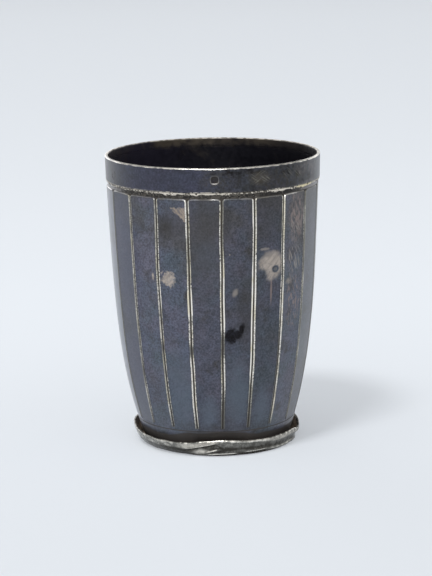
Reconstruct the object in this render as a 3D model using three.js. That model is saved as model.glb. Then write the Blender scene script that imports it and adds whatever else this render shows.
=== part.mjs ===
// Silver beaker: a sheet wall chased into panels, with a lip band, an inset base and a moulded foot.
// Millimetres, +Z up. The table is z = 0, the beaker stands on the Z axis and one groove faces -Y.
import * as THREE from 'three';

// Clearances
const solderGap = 0.1; // between two faces that solder joins
const filletGap = 0.3; // between a solder fillet and the curved faces beside it

// Mouth and lip band
const height = 98; // table to lip
const lipRadius = 36; // outside of the mouth
const lipThickness = 1.05; // across the rounded edge of the mouth
const bandHeight = 8; // lip to the band's lower edge
const bandTaper = 0.15; // how much narrower the band's lower edge is, in radius
const bandLapThickness = 0.5; // the band's sheet where it laps the wall
const lapHeight = 5.2; // wall hidden inside the band

// Wall and its panels
const wallThickness = 0.9;
const panelCount = 20;
const channelHeight = 2.1; // plain channel between the band and the panels
const plainFootHeight = 8.9; // table to the panels' lower ends
const grooveDepth = 0.3; // of the grooves between the panels, and of the channel above them
const grooveWidth = 0.9; // between the edges of neighbouring panels
const panelEdge = 0.35; // height over which a panel's ends run out into the channel and the plain foot
const panelCorner = 0.9; // how far a panel's upper corners and a groove's lower end are rounded back
const panelFlatness = 0.8; // 1 is a flat facet, 0 follows the round of the wall
const wallFootRadius = 27.05; // outside of the panels' lower ends
const taperShare = 0.375; // share of the wall's narrowing that runs straight
const curlPower = 3.8; // how late the rest of the narrowing curls in towards the foot
const turnRadius = 4; // outside of the turned-in bottom edge
const turnedEdge = 3.2; // flat width of the turned-in edge, which the base sits on

// Base
const baseThickness = 1;
const baseRise = 1.2; // how far the middle of the base is domed up

// Foot
const plateThickness = 0.9;
const plateWidth = 7.8; // inner to outer edge of the plate
const mouldingHeight = 5.2;
const mouldingClearance = 0.15; // moulding's lower edge above the table, and out from the plate's edge
const mouldingCore = 0.6; // moulding's thickness away from its beads
const mouldingBead = 0.5; // how far the two beads stand out from the core
const lowBeadAt = 1.4; // middle of the lower bead above the moulding's lower edge
const topBeadDrop = 0.35; // middle of the upper bead below the moulding's top edge
const beadWidth = 0.57; // from a bead's middle to where it has mostly fallen away
const mouldingLean = 2.4; // how far the moulding's top leans out past its lower edge
const wornSide = -75; // degrees from the front where wear has rounded the two beads into one swell
const footRecess = 1.4; // between the wall and the moulding's top edge

// Solder
const lipFillet = 0.9;
const baseFillet = 1.1;
const footFillet = 1;

// Bends that wear has put into the moulding: where round the foot from the front, in degrees towards +X,
// how wide, how far its top edge is lifted and pushed outwards there, and how far its lower edge rises
const footBends = [
  { at: -46, spread: 26, lift: -0.5, push: 0.35, rise: 0.05 },
  { at: -4, spread: 13, lift: 0.95, push: -0.3, rise: 0.7 },
  { at: 14, spread: 14, lift: 0.35, push: 0, rise: 0.3 },
  { at: 52, spread: 10, lift: 0.5, push: 0.1, rise: 0.25 },
  { at: 80, spread: 11, lift: -0.7, push: 0, rise: 0.1 },
  { at: 121, spread: 22, lift: 0.4, push: 0.2, rise: 0.2 },
  { at: 174, spread: 20, lift: -0.35, push: 0.25, rise: 0 },
  { at: -104, spread: 18, lift: 0.65, push: 0.35, rise: 0.2 },
];

// Counts of facets
const roundSides = 80;
const smallSides = 60;
const mouldingSides = 96;
const panelRows = 9;
const insideRows = 6;
const turnSteps = 4;
const lipSteps = 6;
const beadSteps = 10;
const domeSteps = 4;

// Heights and radii that follow from the sizes above
const bandLow = height - bandHeight;
const wallTop = bandLow + lapHeight;
const panelTop = bandLow - channelHeight;
const panelBottom = plainFootHeight;
const bandLowRadius = lipRadius - bandTaper;
const bandInside = bandLowRadius - bandLapThickness;
const neckRadius = bandInside - solderGap;
const panelTopRadius = neckRadius + grooveDepth;
const narrowing = panelTopRadius - wallFootRadius;
const footSlope = (narrowing * (taperShare + (1 - taperShare) * curlPower)) / (panelTop - panelBottom);
const footAngle = Math.atan(footSlope);

// Outside of the panels: a straight taper and a curl that grows towards the foot, then a cone below them.
function panelRadius(z) {
  if (z < panelBottom) return wallFootRadius - footSlope * (panelBottom - z);
  const down = Math.max(0, (panelTop - z) / (panelTop - panelBottom));
  return panelTopRadius - narrowing * (taperShare * down + (1 - taperShare) * down ** curlPower);
}

// The wall's bottom edge turns in on an arc that starts where the cone ends and stops flat on the plate.
const turnHeight = plateThickness + turnRadius;
const turnStart = turnHeight - turnRadius * Math.sin(footAngle);
const turnCentre = panelRadius(turnStart) - turnRadius * Math.cos(footAngle);
const turnedEdgeRadius = turnCentre - turnedEdge;
const turnInside = turnRadius - wallThickness;
const turnInsideStart = turnHeight - turnInside * Math.sin(footAngle);

function wallOutside(z) {
  if (z > turnStart) return panelRadius(z);
  return turnCentre + Math.sqrt(turnRadius ** 2 - (turnHeight - z) ** 2);
}

function wallInside(z) {
  if (z > turnInsideStart) return panelRadius(z) - wallThickness;
  return turnCentre + Math.sqrt(turnInside ** 2 - (turnHeight - z) ** 2);
}

// Foot sizes that follow the wall
const mouldingTop = mouldingClearance + mouldingHeight;
const mouldingInside = wallOutside(mouldingTop) + footRecess - mouldingLean;
const plateRadius = mouldingInside - mouldingClearance;
const baseSeat = plateThickness + wallThickness;
const baseTop = baseSeat + baseThickness;

function range(count) {
  return Array.from({ length: count + 1 }, (_, k) => k / count);
}

// Points of an arc as [radius, z], by angles from straight down, turning outwards and up
function arc(centreRadius, centreZ, radius, from, to, steps) {
  return range(steps).map((part) => {
    const angle = from + (to - from) * part;
    return [centreRadius + radius * Math.sin(angle), centreZ - radius * Math.cos(angle)];
  });
}

// Solid turned about Z. The profile runs outwards along the bottom, up the outside and back in.
function turned(profile, sides, closed = true) {
  const points = profile.map(([radius, z]) => new THREE.Vector2(radius, z));
  if (closed) points.push(points[0].clone());
  const geometry = new THREE.LatheGeometry(points, sides);
  geometry.rotateX(Math.PI / 2);
  return geometry;
}

// Moves each vertex of a turned solid: place(side, row) gives its [angle, radius, z], angle 0 at -Y.
function reshaped(geometry, rowCount, place) {
  const position = geometry.attributes.position;
  for (let k = 0; k < position.count; k += 1) {
    const [angle, radius, z] = place(Math.floor(k / (rowCount + 1)), (k % (rowCount + 1)) % rowCount);
    position.setXYZ(k, radius * Math.sin(angle), -radius * Math.cos(angle), z);
  }
  geometry.computeVertexNormals();
  return geometry;
}

// Collar with a rounded lip above and a thinner skirt that laps the outside of the wall
function lipBandGeometry() {
  const lipHalf = lipThickness / 2;
  const lip = arc(lipRadius - lipHalf, height - lipHalf, lipHalf, Math.PI / 2, Math.PI * 1.5, lipSteps);
  return turned(
    [
      [bandInside, bandLow],
      [bandLowRadius, bandLow],
      ...lip,
      [lipRadius - lipThickness, wallTop + solderGap],
      [bandInside, wallTop + solderGap],
    ],
    roundSides,
  );
}

// Sheet wall. Each panel takes five stations round: the groove's middle, one edge, two on the face and
// the other edge. Panel rows are cut in at the groove's station and flattened at the others.
function panelledWallGeometry() {
  const plain = ([radius, z]) => ({ radius, z, panelled: false });
  const outerTurn = arc(turnCentre, turnHeight, turnRadius, 0, Math.PI / 2 - footAngle, turnSteps);
  const innerTurn = arc(turnCentre, turnHeight, turnInside, Math.PI / 2 - footAngle, 0, turnSteps);
  const panels = range(panelRows).map((part) => {
    const z = panelBottom + (panelTop - panelBottom) * part;
    const grooveEnd = part === 0 ? panelCorner : 0;
    const corner = part === 1 ? -panelCorner : 0;
    return { radius: panelRadius(z), z, panelled: true, grooveEnd, corner };
  });
  const inside = range(insideRows).map((part) => {
    const z = wallTop + (turnInsideStart - wallTop) * part;
    return plain([wallInside(z), z]);
  });
  const rows = [
    plain([turnedEdgeRadius, plateThickness]),
    ...outerTurn.map(plain),
    plain([panelRadius(panelBottom - panelEdge), panelBottom - panelEdge]),
    ...panels,
    plain([neckRadius, panelTop + panelEdge]),
    plain([neckRadius, wallTop]),
    ...inside.slice(0, -1),
    ...innerTurn.map(plain),
    plain([turnedEdgeRadius, baseSeat]),
  ];
  const stations = 5;
  const pitch = (Math.PI * 2) / panelCount;
  const geometry = turned(rows.map((row) => [row.radius, row.z]), panelCount * stations);
  return reshaped(geometry, rows.length, (side, index) => {
    const { radius, z, panelled, grooveEnd, corner } = rows[index];
    const station = side % stations;
    const edge = grooveWidth / 2 / radius;
    const across = station === 0 ? 0 : edge + ((pitch - edge * 2) * (station - 1)) / (stations - 2);
    const angle = Math.floor(side / stations) * pitch + across;
    if (!panelled) return [angle, radius, z];
    if (station === 0) return [angle, radius - grooveDepth, z + grooveEnd + corner];
    const flat = (radius * Math.cos(pitch / 2 - edge)) / Math.cos(across - pitch / 2);
    const faceRadius = radius + (flat - radius) * panelFlatness;
    const onEdge = station === 1 || station === stations - 1;
    return [angle, faceRadius, onEdge ? z + corner : z];
  });
}

// Domed disc that drops into the wall's turned-in edge, with its rim cut to the curve of the turn
function baseDiscGeometry() {
  const rim = wallInside(baseTop) - filletGap;
  const seat = turnCentre - filletGap;
  const dome = (part) => baseRise * (1 - part ** 2) ** 2;
  const under = range(domeSteps).map((part) => [turnedEdgeRadius * part, baseSeat + dome(part)]);
  const over = range(domeSteps).map((part) => [turnedEdgeRadius * part, baseTop + dome(part)]);
  return turned([...under, [seat, baseSeat], [rim, baseTop], ...over.reverse()], smallSides, false);
}

function footPlateGeometry() {
  return turned(
    [
      [plateRadius - plateWidth, 0],
      [plateRadius, 0],
      [plateRadius, plateThickness],
      [plateRadius - plateWidth, plateThickness],
    ],
    smallSides,
  );
}

// Sum of the bends at an angle in degrees
function footBend(degrees) {
  const bend = { lift: 0, push: 0, rise: 0 };
  for (const { at, spread, lift, push, rise } of footBends) {
    const away = ((degrees - at + 540) % 360) - 180;
    const weight = Math.exp(-((away / spread) ** 2));
    bend.lift += lift * weight;
    bend.push += push * weight;
    bend.rise += rise * weight;
  }
  return bend;
}

// How far the moulding's face stands out from its core: two beads, or one swell where it is worn
function mouldingFace(part, degrees) {
  const bead = (at) => Math.exp(-(((part * mouldingHeight - at) / beadWidth) ** 2));
  const beads = bead(lowBeadAt) + bead(mouldingHeight - topBeadDrop);
  const worn = (1 + Math.cos(THREE.MathUtils.degToRad(degrees - wornSide))) / 2;
  return mouldingBead * (beads + (Math.sin(part * Math.PI) - beads) * worn);
}

// Leaning strip with two beads. Its edges follow the bends, and what lies between them goes along.
function footMouldingGeometry() {
  const outer = range(beadSteps).map((part) => ({ part, outside: true }));
  const inner = [1, 0.5, 0].map((part) => ({ part, outside: false }));
  const rows = [...outer, ...inner];
  const radiusOf = ({ part, outside }) => mouldingInside + mouldingLean * part + (outside ? mouldingCore : 0);
  const heightOf = ({ part }) => mouldingClearance + mouldingHeight * part;
  const geometry = turned(rows.map((row) => [radiusOf(row), heightOf(row)]), mouldingSides);
  return reshaped(geometry, rows.length, (side, index) => {
    const row = rows[index];
    const degrees = ((side % mouldingSides) * 360) / mouldingSides;
    const { lift, push, rise } = footBend(degrees);
    const face = row.outside ? mouldingFace(row.part, degrees) : 0;
    const radius = radiusOf(row) + push * row.part + face;
    const z = heightOf(row) + lift * row.part + rise * (1 - row.part);
    return [THREE.MathUtils.degToRad(degrees), radius, z];
  });
}

// Fillet in the corner between the neck and the band's lower edge
function lipSolderGeometry() {
  const top = bandLow - solderGap;
  return turned(
    [
      [bandInside, top - lipFillet],
      [bandInside + lipFillet / 3, top - lipFillet / 3],
      [bandLowRadius - solderGap, top],
      [bandInside, top],
    ],
    roundSides,
  );
}

// Fillet on the base's rim, against the inside of the wall
function baseSolderGeometry() {
  const low = baseTop + solderGap;
  const high = low + baseFillet;
  return turned(
    [
      [wallInside(low) - filletGap - baseFillet, low],
      [wallInside(low) - filletGap, low],
      [wallInside(high) - filletGap, high],
      [wallInside(low) - filletGap - baseFillet / 3, low + baseFillet / 3],
    ],
    smallSides,
  );
}

// Solder on the plate, in the recess between the wall's turn and the moulding, clear of its highest rise
function footSolderGeometry() {
  const high = plateThickness + footFillet;
  const highestRise = Math.max(...range(mouldingSides).map((part) => footBend(part * 360).rise));
  const mouldingLow = mouldingClearance + highestRise;
  const mouldingAt = (z) => mouldingInside + (mouldingLean * Math.max(0, z - mouldingLow)) / mouldingHeight;
  return turned(
    [
      [wallOutside(plateThickness + footFillet / 2) + filletGap, plateThickness],
      [plateRadius, plateThickness],
      [mouldingAt(high) - filletGap, high],
      [wallOutside(high) + filletGap, high],
    ],
    smallSides,
  );
}

function piece(name, geometry, finish) {
  const mesh = new THREE.Mesh(geometry, new THREE.MeshStandardMaterial(finish));
  mesh.name = name;
  return mesh;
}

const beaker = new THREE.Group();
beaker.name = 'beaker';
beaker.add(
  piece('lip_band', lipBandGeometry(), { color: 0x4a505c, roughness: 0.42, metalness: 0.9 }),
  piece('panelled_wall', panelledWallGeometry(), { color: 0x555b68, roughness: 0.48, metalness: 0.85 }),
  piece('base_disc', baseDiscGeometry(), { color: 0x2c2926, roughness: 0.6, metalness: 0.8 }),
  piece('foot_plate', footPlateGeometry(), { color: 0x3b3833, roughness: 0.6, metalness: 0.8 }),
  piece('foot_moulding', footMouldingGeometry(), { color: 0xb9b6ae, roughness: 0.33, metalness: 1 }),
  piece('lip_solder', lipSolderGeometry(), { color: 0xc4bfb0, roughness: 0.45, metalness: 0.9 }),
  piece('base_solder', baseSolderGeometry(), { color: 0x4a453c, roughness: 0.6, metalness: 0.8 }),
  piece('foot_solder', footSolderGeometry(), { color: 0x2a2420, roughness: 0.75, metalness: 0.5 }),
);

export default beaker;
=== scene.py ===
import math
from functools import reduce

import bmesh
import bpy
import numpy as np
from mathutils import Matrix, Vector


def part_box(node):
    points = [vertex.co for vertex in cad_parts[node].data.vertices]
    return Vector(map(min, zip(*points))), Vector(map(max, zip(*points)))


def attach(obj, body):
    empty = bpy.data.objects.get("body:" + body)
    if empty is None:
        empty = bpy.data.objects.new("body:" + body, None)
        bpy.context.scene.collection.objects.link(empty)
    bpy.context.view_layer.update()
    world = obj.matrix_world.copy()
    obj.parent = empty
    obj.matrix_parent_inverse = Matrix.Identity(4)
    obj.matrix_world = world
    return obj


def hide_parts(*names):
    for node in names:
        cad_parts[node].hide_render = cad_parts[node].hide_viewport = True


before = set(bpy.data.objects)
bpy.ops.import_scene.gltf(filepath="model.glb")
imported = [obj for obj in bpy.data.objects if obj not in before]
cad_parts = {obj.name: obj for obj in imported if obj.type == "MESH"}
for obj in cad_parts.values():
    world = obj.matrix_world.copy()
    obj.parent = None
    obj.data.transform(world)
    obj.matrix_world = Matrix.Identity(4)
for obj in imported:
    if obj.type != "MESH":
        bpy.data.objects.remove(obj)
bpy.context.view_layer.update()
mm = 0.001
print("frame loaded:", ", ".join(sorted(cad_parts)))

# Places that the frame gives
bandFrom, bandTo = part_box("lip_band")
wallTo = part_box("panelled_wall")[1]
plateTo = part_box("foot_plate")[1]
height, lipRadius, bandLow = bandTo.z, bandTo.x, bandFrom.z
wallTop, plateTop, plateRadius = wallTo.z, plateTo.z, plateTo.x


# Smooth step: 3t^2 - 2t^3 of the share t of the way from low to high
def smoothStep(low, high, value):
    share = np.clip((value - low) / (high - low), 0.0, 1.0)
    return share * share * (3.0 - 2.0 * share)


# Share inside a window: a smooth step up from start to full, times one down from fade to gone
def window(value, start, full, fade, gone):
    return smoothStep(start, full, value) * smoothStep(gone, fade, value)


# Bell curve: e to the power of minus the square of distance over spread
def bell(distance, spread):
    return np.exp(-((distance / spread) ** 2))


# Angle from a place round the beaker, in degrees from -180 to 180
def degreesFrom(degrees, at):
    return (degrees - at + 180) % 360 - 180


# Angles of evenly spaced columns round the beaker, as one row of a grid
def evenAngles(count):
    return np.linspace(-math.pi, math.pi, count, endpoint=False)[None, :]


# Sum of cosine waves that close round the beaker, cos(turns * angle + z / length + phase), about -1 to 1
def ripple(angle, z, seed, waves=12, turns=9, length=9 * mm):
    draw = np.random.default_rng(seed)
    total = np.zeros(np.broadcast(angle, z).shape)
    for _ in range(waves):
        wave = draw.integers(0, turns + 1) * angle + draw.normal() * z / length
        total += np.cos(wave + draw.uniform(0, 6.28))
    return total / (1.6 * math.sqrt(waves))


# Mesh of a surface given as radius, angle and height on a grid of rows (along the profile) and columns
# (round the beaker). Columns close on themselves. Rows close too, unless the profile runs axis to axis:
# then its first and last rows are drawn together into one point each.
def skin(name, radius, angle, z, materials, rowMaterial=0, closed=True, values=None, sharp=40):
    radius, angle, z = np.broadcast_arrays(radius, angle, z)
    rows, cols = radius.shape
    points = np.stack([radius * np.sin(angle), -radius * np.cos(angle), z], axis=-1).reshape(-1, 3)
    row, col = np.meshgrid(np.arange(rows if closed else rows - 1), np.arange(cols), indexing="ij")
    nextRow, nextCol = (row + 1) % rows, (col + 1) % cols
    corners = (row * cols + col, row * cols + nextCol, nextRow * cols + nextCol, nextRow * cols + col)
    mesh = bpy.data.meshes.new(name)
    mesh.from_pydata(points, [], np.stack(corners, axis=-1).reshape(-1, 4))
    slots = np.repeat(np.broadcast_to(rowMaterial, rows)[: len(row)], cols)
    mesh.polygons.foreach_set("material_index", slots.astype(np.int32))
    for key, grid in (values or {}).items():
        layer = mesh.attributes.new(key, "FLOAT", "POINT")
        layer.data.foreach_set("value", np.broadcast_to(grid, radius.shape).astype(np.float32).ravel())
    mesh.shade_smooth()
    if not closed:
        weldPoles(mesh)
    mesh.set_sharp_from_angle(angle=math.radians(sharp))
    for material in materials:
        mesh.materials.append(material)
    piece = bpy.data.objects.new(name, mesh)
    bpy.context.scene.collection.objects.link(piece)
    return piece


# Joins the points that lie together where a profile meets the axis
def weldPoles(mesh):
    work = bmesh.new()
    work.from_mesh(mesh)
    bmesh.ops.remove_doubles(work, verts=work.verts, dist=1e-7)
    bmesh.ops.dissolve_degenerate(work, edges=work.edges, dist=1e-7)
    work.to_mesh(mesh)
    work.free()


# Ties a piece to the frame: it rides on the root and stands in for a node, which it hides
def dress(piece, node):
    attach(piece, "root")
    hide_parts(node)
    print("made", piece.name, len(piece.data.polygons), "faces")


# The material being built with its tree and shader, and the places that its noise and marks start from
bench = {}


# Sets a node's inputs, each to a link, a colour of the table below by its name, or a plain value
def feed(made, inputs):
    for key, value in dict(inputs).items():
        if isinstance(value, bpy.types.NodeSocket):
            bench["tree"].links.new(value, made.inputs[key])
        else:
            made.inputs[key].default_value = (*finishes[value], 1) if isinstance(value, str) else value


# A new node with its inputs and settings. Gives back one output, as do the short ways to write nodes below.
def node(kind, inputs=(), output=0, **settings):
    made = bench["tree"].nodes.new("ShaderNode" + kind)
    for key, setting in settings.items():
        setattr(made, key, setting)
    feed(made, inputs)
    return made.outputs[output]


# One operation on up to three values
def maths(operation, *values):
    return node("Math", enumerate(values), operation=operation)


# Product of all factors
def times(*factors):
    return reduce(lambda first, second: maths("MULTIPLY", first, second), factors)


# Largest of all masks
def most(*masks):
    return reduce(lambda first, second: maths("MAXIMUM", first, second), masks)


# One less a value
def without(value):
    return maths("SUBTRACT", 1.0, value)


# Smooth step of a value from low to high, set between two results
def ramp(value, low, high, to=(0.0, 1.0)):
    return node("MapRange", enumerate((value, low, high, *to)), interpolation_type="SMOOTHSTEP")


# Value that lies by a share between two others
def mixValue(share, first, second):
    return node("Mix", {0: share, 2: first, 3: second})


# Colour that lies by a share between two others
def blend(share, first, second):
    return node("Mix", {0: share, 6: first, 7: second}, 2, data_type="RGBA")


# Colour laid over another one by the product of masks
def lay(under, colour, *masks):
    return blend(times(*masks), under, colour)


# Operation on one or two vectors, or on a vector and a scale
def vector(operation, *values):
    inputs = zip((0, "Scale" if operation == "SCALE" else 1), values)
    output = "Value" if operation in ("LENGTH", "DOT_PRODUCT") else "Vector"
    return node("VectorMath", inputs, output, operation=operation)


# Noise from 0 to 1 with a scale per mm, on the piece's own place or another, moved by a shift
def cloud(scale, detail=4.0, rough=0.55, warp=0.0, shift=None, on=None):
    place = bench["place"] if on is None else on
    place = vector("ADD", place, shift) if shift else place
    inputs = {"Vector": place, "Scale": scale, "Detail": detail, "Roughness": rough, "Distortion": warp}
    return node("TexNoise", inputs)


# Value that the mesh carries under a name
def attribute(name):
    return node("Attribute", output="Fac", attribute_name=name)


# The three parts of a vector
def parts(whole):
    return node("SeparateXYZ", {0: whole}).node.outputs


arcRadius = 32.0  # mm, turns an angle round the beaker into a length for marks on its wall


# A new material with one shader, and Object coordinates in millimetres, kept whole and as (arc round the
# beaker, height). Gives back x and z.
def newFinish(name):
    material = bpy.data.materials.new(name)
    material.use_nodes = True
    tree = material.node_tree
    tree.nodes.clear()
    bench.update(material=material, tree=tree)
    bench["shader"] = node("BsdfPrincipled").node
    feed(tree.nodes.new("ShaderNodeOutputMaterial"), {"Surface": bench["shader"].outputs["BSDF"]})
    bench["place"] = vector("SCALE", node("TexCoord", output="Object"), 1.0 / mm)
    x, y, z = parts(bench["place"])
    turn = maths("ARCTAN2", x, maths("MULTIPLY", y, -1.0))
    bench["onWall"] = node("CombineXYZ", {0: maths("MULTIPLY", turn, arcRadius), 1: z})
    return x, z


# Vector from a mark's middle, given as angle in degrees and height in mm, turned by its lean in degrees
def fromMark(at, up, lean):
    away = vector("SUBTRACT", bench["onWall"], (math.radians(at) * arcRadius, up, 0.0))
    if not lean:
        return away
    return node("VectorRotate", {"Vector": away, "Angle": math.radians(lean)}, rotation_type="Z_AXIS")


# Soft-edged spot: one inside an ellipse of half sizes in mm, with its outline broken up by noise
def spot(at, up, halfWide, halfHigh, ragged=0.5, grain=0.5, soft=0.18, lean=0.0):
    reach = vector("LENGTH", vector("DIVIDE", fromMark(at, up, lean), (halfWide, halfHigh, 1.0)))
    noise = maths("SUBTRACT", cloud(grain, 3.0, 0.6), 0.5)
    return ramp(maths("MULTIPLY_ADD", noise, ragged * 2.0, reach), 1.0 + soft, 1.0 - soft)


# Noise drawn out in one leaning direction, for stroke marks: fine across it, drawn along it
def strokes(lean, fine=1.1, drawn=0.25, at=0.0, up=0.0, detail=4.0, rough=0.65):
    return cloud(1.0, detail, rough, on=vector("MULTIPLY", fromMark(at, up, lean), (fine, drawn, 1.0)))


# Thin streaks inside a spot: drawn-out noise, cut to its peaks
def streaks(at, up, halfWide, halfHigh, lean, fine=1.6, drawn=0.16, low=0.56, high=0.66):
    noise = strokes(lean, fine, drawn, at, up, 3.0, 0.6)
    return times(ramp(noise, low, high), spot(at, up, halfWide, halfHigh, 0.7, 0.35, 0.5))


# Largest of several spots, or of another kind of mark, each given as a row of values
def marked(rows, kind=spot):
    return most(*[kind(*row) for row in rows])


# Sets the shader's colour and roughness, and by a look its share of metal and its bumps: grain per mm,
# strength and depth. Gives back the material.
def paint(colour, look, roughness, metallic=None, heights=None):
    grain, strength, depth = look["bumps"]
    heights = cloud(grain, 4.0, 0.6) if heights is None else heights
    normal = node("Bump", {"Strength": strength, "Distance": depth, "Height": heights})
    metallic = look["metallic"] if metallic is None else metallic
    inputs = {"Base Color": colour, "Metallic": metallic, "Roughness": roughness, "Normal": normal}
    feed(bench["shader"], inputs)
    return bench["material"]


tarnishFilm = {"weight": 1.0, "roughness": 0.28}


# Thin glossy film that old tarnish carries: faint from the front, mirror-like at a glancing angle, gone
# where the surface is dull
def film(dull):
    weight = times(without(dull), tarnishFilm["weight"])
    feed(bench["shader"], {"Coat Weight": weight, "Coat Roughness": tarnishFilm["roughness"]})


finishes = {
    "tarnishBlue": (0.051, 0.059, 0.088),
    "tarnishViolet": (0.064, 0.062, 0.088),
    "tarnishTeal": (0.046, 0.060, 0.080),
    "tarnishOlive": (0.043, 0.0415, 0.046),
    "tarnishBrown": (0.022, 0.019, 0.018),
    "bloom": (0.080, 0.102, 0.135),
    "sideBlue": (0.034, 0.042, 0.105),
    "bandBlue": (0.020, 0.021, 0.046),
    "bandGrey": (0.013, 0.0125, 0.017),
    "bandWarm": (0.085, 0.068, 0.045),
    "bandPale": (0.16, 0.145, 0.148),
    "bareSilver": (0.95, 0.91, 0.83),
    "dullLine": (0.21, 0.205, 0.165),
    "yellowSilver": (0.66, 0.58, 0.36),
    "tan": (0.325, 0.285, 0.25),
    "tanShade": (0.22, 0.19, 0.165),
    "tanBrown": (0.34, 0.265, 0.19),
    "rust": (0.22, 0.165, 0.150),
    "grime": (0.022, 0.017, 0.012),
    "channel": (0.056, 0.050, 0.042),
    "footBrown": (0.034, 0.0285, 0.0245),
    "recess": (0.16, 0.12, 0.088),
    "black": (0.010, 0.009, 0.009),
    "insideBlack": (0.0056, 0.0054, 0.0092),
    "insideBlue": (0.023, 0.021, 0.036),
    "insideDeep": (0.105, 0.095, 0.088),
    "insideBrown": (0.077, 0.064, 0.050),
    "solder": (0.72, 0.66, 0.57),
    "solderGold": (0.70, 0.61, 0.40),
    "footSilver": (0.80, 0.77, 0.70),
    "footGrey": (0.165, 0.162, 0.148),
    "footShade": (0.045, 0.042, 0.036),
    "footSatin": (0.42, 0.405, 0.365),
    "satinShade": (0.20, 0.19, 0.17),
}


# Tarnish over silver: cloudy blue-grey with violet, teal, olive and brown drifts, mottling, grain and pits
def tarnish(z):
    grain = cloud(1.6, 3.0, 0.7)
    mottle = cloud(0.35, 5.0, 0.65, shift=(13, 55, 21))
    colour = blend(ramp(cloud(0.11, 4.0, 0.55, 0.4), 0.35, 0.68), "tarnishBlue", "tarnishViolet")
    colour = lay(colour, "tarnishTeal", ramp(cloud(0.085, 3.0, shift=(5, 60, 12)), 0.42, 0.68))
    upper = maths("ADD", cloud(0.06, shift=(31, 7, 90)), ramp(z, 40.0, 88.0, (-0.16, 0.06)))
    colour = lay(colour, "tarnishOlive", ramp(upper, 0.42, 0.66))
    colour = lay(colour, "tarnishBrown", ramp(cloud(0.16, 5.0, 0.65, shift=(70, 3, 44)), 0.52, 0.76))
    lightness = times(ramp(grain, 0.25, 0.75, (0.5, 1.5)), ramp(mottle, 0.3, 0.7, (0.82, 1.18)))
    pits = ramp(cloud(1.1, 2.0, shift=(3, 8, 5)), 0.66, 0.73)
    return lay(vector("SCALE", colour, lightness), "grime", pits, 0.7), grain


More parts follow.
